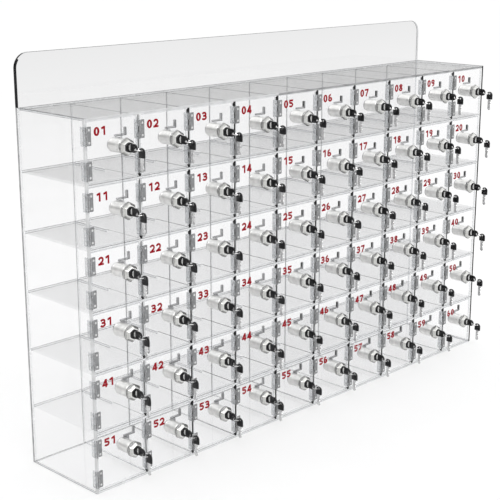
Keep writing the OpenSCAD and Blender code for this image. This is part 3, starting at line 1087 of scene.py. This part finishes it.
@dataclass
class Hinge:
    """The two hinges of a door: leaves, knuckles and screws, in the opening's own place."""

    grid: Grid
    axis: Point = (-2.5 * MM, -2.5 * MM)
    knuckle: float = 2.0 * MM
    bore: float = 0.85 * MM
    height: float = 28 * MM
    low: float = 6 * MM
    high: float = 57 * MM
    knuckle_gap: float = 0.2 * MM
    leaf: float = 1.2 * MM
    door_leaf: Point = (0.8 * MM, 7.6 * MM)
    wall_leaf: Point = (0.0, 8.0 * MM)
    seat: float = 0.05 * MM
    web: float = 0.5 * MM
    leaf_corner: float = 1.0 * MM
    edge: float = 0.2 * MM
    barrel_sides: int = 20
    screw: float = 1.9 * MM
    screw_sides: int = 16
    screw_gap: float = 0.01 * MM
    screw_dome: tuple[Point, ...] = ((1, 0.7), (0.8, 0.9), (0.5, 1), (0.4, 0.75), (0.15, 0.7), (0, 0.7))
    screw_places: tuple[float, float] = (0.15, 0.82)
    wall_screws: float = 4.4 * MM

    def barrel(self, shape: Shape, low: float, high: float) -> None:
        """Adds one knuckle with softened ends."""
        profile = [
            (self.bore, low), (self.knuckle - self.edge, low), (self.knuckle, low + self.edge),
            (self.knuckle, high - self.edge), (self.knuckle - self.edge, high), (self.bore, high),
        ]
        shape.turn(Plane.XY, self.axis, profile, self.barrel_sides, KNUCKLE_PLASTIC)

    def plate(
        self, shape: Shape, plane: Plane, corners: tuple[Point, Point], heights: Point, plastic: Finish,
    ) -> None:
        """Adds a flat web of a leaf.

        Args:
            shape: The shape that it is added to.
            plane: The plane that it lies in.
            corners: Its lower and upper corner.
            heights: Heights of its two faces.
            plastic: Its finish.
        """
        shape.extrude(plane, rectangle(*corners), *heights, self.edge, Sheet.even(plastic))

    def leaf_plate(
        self, shape: Shape, plane: Plane, span: Point, low: float, heights: Point, middle: float,
        plastic: Finish,
    ) -> None:
        """Adds a leaf with rounded corners and a seat for each screw.

        Args:
            shape: The shape that it is added to.
            plane: The plane that it lies in.
            span: Its two ends across the hinge's axis.
            low: Its lower end.
            heights: Heights of its two faces.
            middle: The screws' place across it.
            plastic: Its finish.
        """
        outline = rectangle((span[0], low), (span[1], low + self.height), self.leaf_corner)
        spots = [(middle, low + share * self.height) for share in self.screw_places]
        seats = [circle(self.screw + self.seat, self.screw_sides, spot) for spot in spots]
        shape.extrude(plane, outline, *heights, self.edge, Sheet.even(plastic), seats)

    def screw_head(self, shape: Shape, plane: Plane, centre: Point, seat: float, out: float) -> None:
        """Adds a domed screw head with a dip in its middle.

        Args:
            shape: The shape that it is added to.
            plane: The plane of its seat.
            centre: Its place in that plane.
            seat: Height of the seat.
            out: 1 or -1, the way that it stands out.
        """
        foot, height = seat + self.screw_gap * out, (self.leaf - 2 * self.screw_gap) * out
        profile = [(0, foot), (self.screw, foot)]
        profile += [(across * self.screw, seat + up * height) for across, up in self.screw_dome]
        shape.turn(plane, centre, profile, self.screw_sides, SCREW_STEEL)

    def third(self, low: float, part: int) -> tuple[float, float]:
        """Gives the ends of one of the three knuckles."""
        step, half = self.height / 3, self.knuckle_gap / 2
        start = low + part * step + (half if part > 0 else 0)
        return start, low + (part + 1) * step - (half if part < 2 else 0)

    def door_side(self) -> tuple[Shape, Shape]:
        """Gives the leaves on a door and their screws."""
        leaves, screws = Shape(), Shape()
        front, back = -self.leaf - self.seat, -self.seat
        left, right = self.door_leaf
        middle = (left + right) / 2 + self.seat
        for low in (self.low, self.high):
            self.leaf_plate(leaves, Plane.XZ, (left, right), low, (front, back), middle, LEAF_PLASTIC)
            bottom, top = self.third(low, 1)
            self.barrel(leaves, bottom, top)
            web = (self.axis[0] + self.bore, bottom), (left + self.leaf, top)
            self.plate(leaves, Plane.XZ, web, (front, -self.web), KNUCKLE_PLASTIC)
            for share in self.screw_places:
                self.screw_head(screws, Plane.XZ, (middle, low + share * self.height), back, -1)
        return leaves, screws

    def wall_side(self) -> tuple[Shape, Shape]:
        """Gives the leaves on the wall and their screws."""
        leaves, screws = Shape(), Shape()
        inner = -self.grid.wall
        outer = inner - self.leaf
        middle = self.wall_screws
        for low in (self.low, self.high):
            self.leaf_plate(leaves, Plane.YZ, self.wall_leaf, low, (outer, inner), middle, WALL_PLASTIC)
            for part in (0, 2):
                bottom, top = self.third(low, part)
                self.barrel(leaves, bottom, top)
                web = (outer, bottom), (self.axis[0] - self.bore, top)
                self.plate(leaves, Plane.XZ, web, (self.axis[1], -self.web), KNUCKLE_PLASTIC)
                web = (self.axis[1], bottom), (self.leaf, top)
                self.plate(leaves, Plane.YZ, web, (outer, inner), KNUCKLE_PLASTIC)
            for share in self.screw_places:
                self.screw_head(screws, Plane.YZ, (middle, low + share * self.height), inner, -1)
        return leaves, screws

    def build(self) -> None:
        """Builds the leaves on the walls as one piece, and their screws as another."""
        spots = self.grid.corners(range(1, self.grid.columns + 1))
        leaves, screws = (scatter([shape], spots) for shape in self.wall_side())
        leaves.piece("hinge_wall_leaves", "cabinet", ["wall_hinge_leaves"], "hinge_plastic")
        screws.piece("hinge_wall_screws", "cabinet", slot="steel_pin")
        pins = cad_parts["hinge_pins"]
        pins.data.materials.clear()
        pins.data.materials.append(PIN_STEEL.material())


@dataclass
class Numeral:
    """Printed numbers, drawn from strokes on a square of unit height."""

    height: float = 13.3 * MM
    advance: float = 12.5 * MM
    stroke: float = 0.24
    stem: float = 0.3
    crown: float = 0.22
    width: float = 0.79
    oval_points: int = 24
    thickness: float = 0.1 * MM
    lap: float = 0.2
    left: float = 13.2 * MM
    bottom: float = 69.8 * MM

    def ring(self, centre: Point, radii: Point) -> tuple[Loop, Loop]:
        """Gives an oval stroke, heavier at its sides.

        Args:
            centre: Its middle.
            radii: Its outer half width and half height.

        Returns:
            The outer and the inner outline.
        """
        inner = (radii[0] - self.stem, radii[1] - self.crown)
        steps = self.oval_points - 1
        last = 360 * steps / self.oval_points
        return arc(centre, radii, 0, last, steps), arc(centre, inner, 0, last, steps)

    def paths(self, digit: str) -> tuple[list[Loop], list[tuple[Loop, Loop]]]:
        """Gives a digit's open strokes and its closed ovals.

        Args:
            digit: The digit.

        Returns:
            Middle lines of the open strokes, and outlines of the closed ones.
        """
        edge, wide = self.stroke / 2, self.width
        left, right, top, low = edge, wide - edge, 1 - edge, edge
        middle, reach = wide / 2, wide / 2 - edge
        bowl = (wide / 2, 0.31)
        if digit == "0":
            return [], [self.ring((middle, 0.5), (wide / 2, 0.5))]
        if digit == "1":
            return [[(0.12, 0.74), (0.48, 0.9)], [(0.52, 0.0), (0.52, 1.0)]], []
        if digit == "2":
            hook = arc((middle, top - reach), (reach, reach), 165, -35, 12) + [(left + 0.06, low)]
            return [hook, [(0.02, low), (wide, low)]], []
        if digit == "3":
            upper = arc((middle - 0.04, top - 0.19), (reach, 0.19), 155, -85, 14)
            lower = arc((middle - 0.04, low + 0.205), (reach + 0.04, 0.205), 85, -155, 14)
            return [upper, lower, [(0.2, 0.52), (middle, 0.52)]], []
        if digit == "4":
            bar = [(0.0, 0.29), (wide, 0.29)]
            stem = [(right - 0.12, 0.0), (right - 0.12, 1.0)]
            return [[(right - 0.16, 0.98), (left, 0.29)], bar, stem], []
        if digit == "5":
            flag = [(wide - 0.04, top), (left + 0.04, top), (left + 0.02, 0.5)]
            return [flag, arc((middle - 0.04, low + 0.22), (reach + 0.02, 0.22), 125, -150, 16)], []
        if digit == "6":
            tail = arc((middle + 0.08, 0.5), (reach + 0.08, 0.5 - edge), 85, 175, 12)
            return [tail], [self.ring((middle, 0.31), bowl)]
        if digit == "7":
            return [[(0.0, top), (wide, top)], [(right + 0.02, top), (left + 0.14, 0.0)]], []
        if digit == "8":
            upper = self.ring((middle, 0.745), (wide / 2 - 0.03, 0.255))
            return [], [upper, self.ring((middle, 0.285), (wide / 2, 0.285))]
        tail = arc((middle - 0.08, 0.5), (reach + 0.08, 0.5 - edge), -95, -5, 12)
        return [tail], [self.ring((middle, 0.69), bowl)]

    def draw(self, shape: Shape, digit: str, corner: Vector) -> None:
        """Adds one digit, with its lower left corner at a place on a door."""
        ink = Sheet.even(RED_INK)
        size = self.height
        one = Shape()
        open_paths, ovals = self.paths(digit)
        for i, path in enumerate(open_paths):
            outline = [(u * size, v * size) for u, v in ribbon(path, self.stroke)]
            layer = self.thickness * (1 + self.lap * (i + 1))
            one.extrude(Plane.XZ, outline, -layer, 0.0, 0.0, ink)
        for pair in ovals:
            outer, inner = ([(u * size, v * size) for u, v in loop] for loop in pair)
            one.extrude(Plane.XZ, outer, -self.thickness, 0.0, 0.0, ink, [inner])
        shape.merge(one, corner)

    def write(self, shape: Shape, number: int, corner: Vector) -> None:
        """Adds a number of two digits to the door at an opening's corner."""
        for i, digit in enumerate(f"{number:02d}"):
            place = Vector((self.left + i * self.advance, 0, self.bottom))
            self.draw(shape, digit, corner + place)


@dataclass
class Door:
    """A clear door with its hole for the lock, and its number."""

    grid: Grid
    hinge: Hinge
    numeral: Numeral = field(default_factory=Numeral)
    hole: float = 7.35 * MM
    hole_sides: int = 32
    corner: float = 0.6 * MM
    corner_steps: int = 2
    arris: float = 0.35 * MM

    def build(self, groups: list[Group]) -> None:
        """Builds the doors, leaves, screws and numbers of every group."""
        low, high = self.grid.place("door_01_panel")
        plug = self.grid.middle("door_01_plug")
        panel = Shape()
        hole = circle(self.hole, self.hole_sides, (plug.x, plug.z))
        outline = rectangle((low.x, low.z), (high.x, high.z), self.corner, self.corner_steps)
        panel.extrude(Plane.XZ, outline, low.y, high.y, self.arris, DOOR, [hole])
        leaf, screw = self.hinge.door_side()
        for group in groups:
            spots = group.spots(self.grid)
            panels, leaves, screws = (scatter([shape], spots) for shape in (panel, leaf, screw))
            numbers = Shape()
            for row, spot in zip(group.rows, spots):
                self.numeral.write(numbers, (row - 1) * self.grid.columns + group.column, spot)
            single = group.tag == FIRST_DOOR
            nodes = ["door_01_panel"] if single else [f"{group.tag}_doors"]
            panels.piece(f"{group.tag}_clear_doors", group.body, nodes, "door_acrylic")
            nodes = ["door_01_hinge_leaves"] if single else []
            leaves.piece(f"{group.tag}_door_leaves", group.body, nodes, "hinge_plastic")
            screws.piece(f"{group.tag}_leaf_screws", group.body, slot="steel_pin")
            numbers.piece(f"{group.tag}_numbers", group.body)


@dataclass
class Lock:
    """A cam lock: bezel, barrel, collar, plug and cam, round its own axis."""

    grid: Grid
    hex_radius: float = 14.5 * MM
    corner_cut: float = 0.7 * MM
    bezel: float = 8 * MM
    bezel_rim: float = 3 * MM
    bezel_face: float = 9.8 * MM
    edge: float = 0.4 * MM
    # Width of the painted shade at the bezel's foot on the door
    foot_line: float = 1.2 * MM
    door: float = 4 * MM
    barrel: float = 11 * MM
    barrel_end: float = 30.5 * MM
    neck: float = 7.25 * MM
    groove: Point = (2.6 * MM, 0.35 * MM)
    collar: float = 7.4 * MM
    collar_length: float = 2.5 * MM
    collar_round: float = 0.7 * MM
    bore: float = 5.05 * MM
    plug: float = 6 * MM
    nose: float = 5 * MM
    recess: float = 1 * MM
    keyway: Point = (0.9 * MM, 3.35 * MM)
    keyway_end: float = 10.8 * MM
    tail: float = 3.5 * MM
    tail_length: float = 1.6 * MM
    cam: Point = (15.5 * MM, 9.5 * MM)
    cam_thickness: float = 2 * MM
    cam_corner: float = 1.5 * MM
    cam_edge: float = 0.25 * MM
    cam_steps: int = 20
    nose_edge: float = 0.2 * MM
    seat: float = 0.05 * MM
    hex_steps: int = 12
    sides: int = 32
    barrel_sides: int = 40
    collar_sides: int = 36
    round_share: float = 0.3

    def hexagon(self, radius: float, height: float) -> tuple[float, list[Loop]]:
        """Gives one level of the bezel, with its bore.

        Args:
            radius: Centre to corner.
            height: The level's height.

        Returns:
            The height with its outlines.
        """
        cap = self.hex_radius - self.corner_cut
        bore = circle(self.neck, 6 * self.hex_steps)
        return height, [chamfered_hexagon(radius, cap, self.hex_steps), bore[::-1]]

    def bezel_ring(self, shape: Shape) -> None:
        """Adds the six-sided bezel with its sloping front, with painted shade on that front, on its outer
        arris and at its foot.
        """
        full, face, soft = self.hex_radius, self.bezel_face, self.edge
        slope = (full - face) / (self.bezel - self.bezel_rim)
        levels = [
            self.hexagon(face - soft, -self.bezel),
            self.hexagon(face + soft * slope, soft - self.bezel),
            self.hexagon(full - soft * slope, -soft - self.bezel_rim),
            self.hexagon(full, soft - self.bezel_rim),
            self.hexagon(full, -self.foot_line - self.seat),
            self.hexagon(full, -soft - self.seat),
            self.hexagon(full - soft, -self.seat),
        ]
        # Bands: painted shade on the slope, the outer arris and the foot
        bands = [BRIGHT_PLATE, BRIGHT_PLATE, SHADED_BEZEL_PLATE, BEZEL_SHADE_LINE, BRIGHT_PLATE]
        bands += [BEZEL_SHADE_LINE, BEZEL_SHADE_LINE, BRIGHT_PLATE]
        shape.loft(Plane.XZ, levels, bands)

    def housing(self) -> Shape:
        """Gives the bezel, the barrel with its neck, and the collar."""
        shape = Shape()
        self.bezel_ring(shape)
        inner, soft, end = self.plug + self.seat, self.edge, self.barrel_end
        shoulder = self.door + self.seat
        at, deep = end - self.groove[0], self.groove[1]
        barrel = [
            (inner, -self.bezel), (self.neck, -self.bezel), (self.neck, shoulder),
            (self.barrel - soft, shoulder), (self.barrel, shoulder + soft),
            (self.barrel, at - deep), (self.barrel - deep, at),
            (self.barrel - deep, at + deep), (self.barrel, at + 2 * deep), (self.barrel, end - 3 * soft),
            (self.barrel - soft, end - soft), (self.barrel - 3 * soft, end), (inner, end),
        ]
        shape.turn(Plane.XZ, (0.0, 0.0), barrel, self.barrel_sides, SATIN_PLATE)
        back = -self.bezel - self.seat
        front = back - self.collar_length
        soft, bit = self.collar_round, self.round_share * self.collar_round
        collar = [
            (self.bore, back), (self.bore, front + bit), (self.bore + bit, front),
            (self.collar - soft, front), (self.collar - bit, front + bit),
            (self.collar, front + soft), (self.collar, back),
        ]
        shape.turn(Plane.XZ, (0.0, 0.0), collar, self.collar_sides, BLACK_COLLAR)
        return shape

    def turning_plug(self) -> Shape:
        """Gives the plug with its keyway, and the tail behind the cam."""
        shape = Shape()
        face = -self.bezel - self.seat - self.collar_length + self.recess
        way = [rectangle((-self.keyway[0], -self.keyway[1]), self.keyway)]
        metal, bright = Sheet.even(BRIGHT_PLATE), Sheet.even(POLISHED_NOSE)
        nose, plug = circle(self.nose, self.sides), circle(self.plug, self.sides)
        shape.extrude(Plane.XZ, nose, face, -self.bezel, self.nose_edge, bright, way)
        shape.extrude(Plane.XZ, plug, -self.bezel, self.keyway_end, 0.0, metal, way)
        end = self.barrel_end + self.seat + self.cam_thickness + self.tail_length
        profile = [
            (0, self.keyway_end), (self.plug, self.keyway_end), (self.plug, self.barrel_end),
            (self.tail, self.barrel_end), (self.tail, end - self.edge), (self.tail - self.edge, end),
            (0, end),
        ]
        shape.turn(Plane.XZ, (0.0, 0.0), profile, self.sides, BRIGHT_PLATE)
        return shape

    def cam_plate(self) -> Shape:
        """Gives the cam: round about the axis, square at its tip."""
        reach, half = self.cam
        corner = self.cam_corner
        outline = arc((0, 0), (half, half), 90, 270, self.cam_steps)
        for height, start in ((corner - half, -90), (half - corner, 0)):
            outline += quarter((reach - corner, height), corner, start)
        near = self.barrel_end + self.seat
        far = near + self.cam_thickness
        hole = circle(self.tail + self.seat, self.sides)
        shape = Shape()
        shape.extrude(Plane.XZ, outline, near, far, self.cam_edge, Sheet.even(CAM_PLATE), [hole])
        return shape

    def build(self, groups: list[Group], axis: Vector) -> None:
        """Builds the locks of every group.

        Args:
            groups: The groups of doors.
            axis: Where a lock's axis meets its door's front, from the opening's corner.
        """
        parts = [
            Part("door_01_lock_housing", self.housing(), "door_01", "door_01_lock_body", "lock_chrome"),
            Part("door_01_lock_plug", self.turning_plug(), "lock_plug_01", "door_01_plug", "lock_chrome"),
            Part("door_01_lock_cam", self.cam_plate(), "lock_plug_01", "door_01_cam", "cam_steel"),
        ]
        hand_out(self.grid, groups, parts, ("cam_locks", "locks", "lock_chrome"), axis)


@dataclass
class Key:
    """A key with a moulded bow, and the ring that ties two of them."""

    grid: Grid
    bow: Point = (15 * MM, 13 * MM)
    bow_thickness: float = 3 * MM
    bow_round: float = 0.9 * MM
    bow_corner: float = 1.2 * MM
    round_steps: int = 3
    hole: float = 1.8 * MM
    hole_in: float = 3.5 * MM
    hole_sides: int = 20
    blade: Point = (21 * MM, 6.5 * MM)
    blade_thickness: float = 1.6 * MM
    blade_edge: float = 0.2 * MM
    blade_lap: float = 0.3 * MM
    shank: float = 3 * MM
    tip: float = 2 * MM
    cuts: tuple[float, ...] = (1.2 * MM, 0.6 * MM, 1.5 * MM, 0.9 * MM, 1.2 * MM)
    ring: float = 6.8 * MM
    ring_steps: int = 88
    ring_start: float = 100
    wire: float = 0.32 * MM
    wire_sides: int = 8
    lift: float = 1.04
    jog: float = 50.0

    def bow_outline(self) -> Loop:
        """Gives a bow's outline, pointing along the first direction, with its flat end at the origin."""
        length, width = self.bow
        half, soft = width / 2, self.bow_corner
        loop = arc((length - half, 0), (half, half), -90, 90, 16)
        for place, start in ((half - soft, 90), (soft - half, 180)):
            loop += quarter((soft, place), soft, start)
        return loop

    def body(self, along: Callable[[float, float], Point], drop: float) -> Shape:
        """Gives a whole key in the upright plane through its blade.

        Args:
            along: Turns a distance along the key and one across it into the plane's two.
            drop: How far the hole lies across from the bow's middle line.

        Returns:
            Bow and blade.
        """
        hole = circle(self.hole, self.hole_sides, (self.bow[0] - self.hole_in, drop))
        drawn = (self.bow_outline(), hole, self.blade_outline())
        bow, hole, blade = ([along(*point) for point in loop] for loop in drawn)
        plastic, metal = Sheet.even(BLACK_BOW), Sheet.even(BLADE_STEEL)
        shape = Shape()
        half = self.bow_thickness / 2
        shape.extrude(Plane.YZ, bow, -half, half, self.bow_round, plastic, [hole], self.round_steps)
        half = self.blade_thickness / 2
        shape.extrude(Plane.YZ, blade, -half, half, self.blade_edge, metal)
        return shape

    def blade_outline(self) -> Loop:
        """Gives the blade's outline with its cuts, running back from the bow."""
        length, width = self.blade
        half, tip = width / 2, width / 3
        loop = [(self.blade_lap, half), (-self.shank, half)]
        step = (length - tip - self.shank - self.tip) / len(self.cuts)
        for i, depth in enumerate(self.cuts):
            at = -self.shank - i * step
            loop += [(at - step / 4, half)]
            loop += [(at - step / 2, half - depth), (at - step * 3 / 4, half - depth)]
        nose = [(tip - length, half), (-length, half / 3), (-length, -half / 3), (tip - length, -half)]
        return loop + nose + [(self.blade_lap, -half)]

    def split_ring(self) -> Shape:
        """Gives a split ring of two turns, level round its own middle."""
        shape = Shape()
        path = []
        for i in range(self.ring_steps + 1):
            angle = 2 * 360 * i / self.ring_steps
            share = min(max((angle - 360 + self.jog / 2) / self.jog, 0), 1)
            height = self.wire * self.lift * math.cos(math.pi * share)
            turn = math.radians(angle + self.ring_start)
            path.append(Vector((self.ring * math.cos(turn), self.ring * math.sin(turn), height)))
        shape.wire(path, Vector((0, 0, 1)), self.wire, self.wire_sides, RING_STEEL)
        return shape

    def build(self, groups: list[Group]) -> None:
        """Builds both keys and the ring of every door."""
        low, high = self.grid.place("door_01_key")
        spare_low, spare_high = self.grid.place("door_01_spare_key")
        ring, axis = self.grid.middle("door_01_key_ring"), (low.z + high.z) / 2
        drop, flat = axis - ring.z, low.y + self.bow[0]
        middle, foot = (spare_low.y + spare_high.y) / 2, spare_high.z - self.bow[0]
        in_lock = scatter([self.body(lambda a, b: (-a, -b), drop)], [Vector((ring.x, flat, axis))])
        spare = scatter([self.body(lambda a, b: (-b, a), 0.0)], [Vector((ring.x, middle, foot))])
        loop = scatter([self.split_ring()], [ring])
        parts = [
            Part("first_key", in_lock, "key_01", "door_01_key", "key_black"),
            Part("first_key_ring", loop, "key_ring_01", "door_01_key_ring", "steel_pin"),
            Part("first_spare_key", spare, "spare_key_01", "door_01_spare_key", "key_black"),
        ]
        hand_out(self.grid, groups, parts, ("key_sets", "keys", "key_black"), Vector())


# Studio


@dataclass(frozen=True)
class Lamp:
    """A square soft light: where it hangs, the length of its side and its power in watts."""

    name: str
    place: tuple[float, float, float]
    size: float
    power: float

    def build(self, aim: Vector) -> None:
        """Hangs the light so that it faces a point."""
        data = bpy.data.lights.new(self.name, "AREA")
        data.size = self.size
        data.energy = self.power
        place = Vector(self.place)
        thing = hang(self.name, data)
        thing.location = place
        thing.rotation_mode = "QUATERNION"
        thing.rotation_quaternion = (aim - place).to_track_quat("-Z", "Y")


@dataclass
class Studio:
    """Pale floor, soft light and the camera at the photograph's angle."""

    camera_at: Vector = field(default_factory=lambda: Vector((-1.5194, -1.4173, 0.8333)))
    looking: Vector = field(default_factory=lambda: Vector((0.68854, 0.678, -0.25735)))
    lens: float = 84.71
    sensor: float = 36
    sight: float = 50
    aim: Vector = field(default_factory=lambda: Vector((0, 0, 0.3)))
    lamps: tuple[Lamp, ...] = (
        Lamp("key_light", (-1.5, -2.5, 3.0), 1.5, 40),
        Lamp("side_light", (3.0, -1.5, 2.0), 1.5, 15),
    )
    floor: float = 8.0
    floor_height: float = -0.5 * MM
    sheets_deep: int = 160
    sky: float = 1.6
    bands: tuple[Point, ...] = (
        (0.0, 0.63), (0.02, 0.63), (0.07, 0.29), (0.33, 0.36), (0.5, 0.95), (0.85, 1.0), (1.0, 0.5),
    )

    def camera(self) -> None:
        """Makes the camera."""
        data = bpy.data.cameras.new("camera")
        data.lens = self.lens
        data.sensor_width = self.sensor
        data.clip_end = self.sight
        thing = hang("camera", data)
        thing.location = self.camera_at
        thing.rotation_mode = "QUATERNION"
        thing.rotation_quaternion = self.looking.to_track_quat("-Z", "Y")
        bpy.context.scene.camera = thing

    def ground(self) -> None:
        """Makes the floor."""
        shape = Shape()
        half = self.floor / 2
        ring = shape.ring(rectangle((-half, -half), (half, half)), Plane.XY, self.floor_height)
        shape.face(ring, PALE_FLOOR)
        mesh = bpy.data.meshes.new("floor")
        mesh.from_pydata(shape.points, [], shape.faces)
        mesh.materials.append(PALE_FLOOR.material())
        hang("floor", mesh)

    def light(self) -> None:
        """Makes the pale surroundings and the lamps."""
        world = bpy.data.worlds.new("pale_room")
        world.use_nodes = True
        nodes = Nodes(world.node_tree)
        bands = nodes.add("ValToRGB")
        while len(bands.color_ramp.elements) < len(self.bands):
            bands.color_ramp.elements.new(0.5)
        for stop, (rise, tone) in zip(bands.color_ramp.elements, self.bands):
            stop.position = rise
            stop.color = (tone, tone, tone, 1)
        nodes.join(nodes.height("Generated"), bands.inputs["Fac"])
        sky = nodes.add("Background", Strength=self.sky)
        nodes.join(bands.outputs["Color"], sky.inputs["Color"])
        nodes.end(sky, "OutputWorld")
        bpy.context.scene.world = world
        for lamp in self.lamps:
            lamp.build(self.aim)

    def build(self) -> None:
        """Sets up the whole studio."""
        self.camera()
        self.ground()
        self.light()
        scene = bpy.context.scene
        scene.view_settings.view_transform = "Standard"
        scene.cycles.transparent_max_bounces = self.sheets_deep


def main() -> None:
    """Builds and dresses the cabinet from its case to its keys, and sets up the studio."""
    logging.basicConfig(level=logging.INFO, format="%(message)s")
    grid = Grid.measured()
    groups = door_groups(grid)
    plug = grid.middle("door_01_plug")
    hinge = Hinge(grid)
    Cabinet(grid).build()
    Strike(grid).build()
    hinge.build()
    Door(grid, hinge).build(groups)
    Lock(grid).build(groups, Vector((plug.x, 0, plug.z)))
    Key(grid).build(groups)
    Studio().build()


if __name__ == "__main__":
    main()
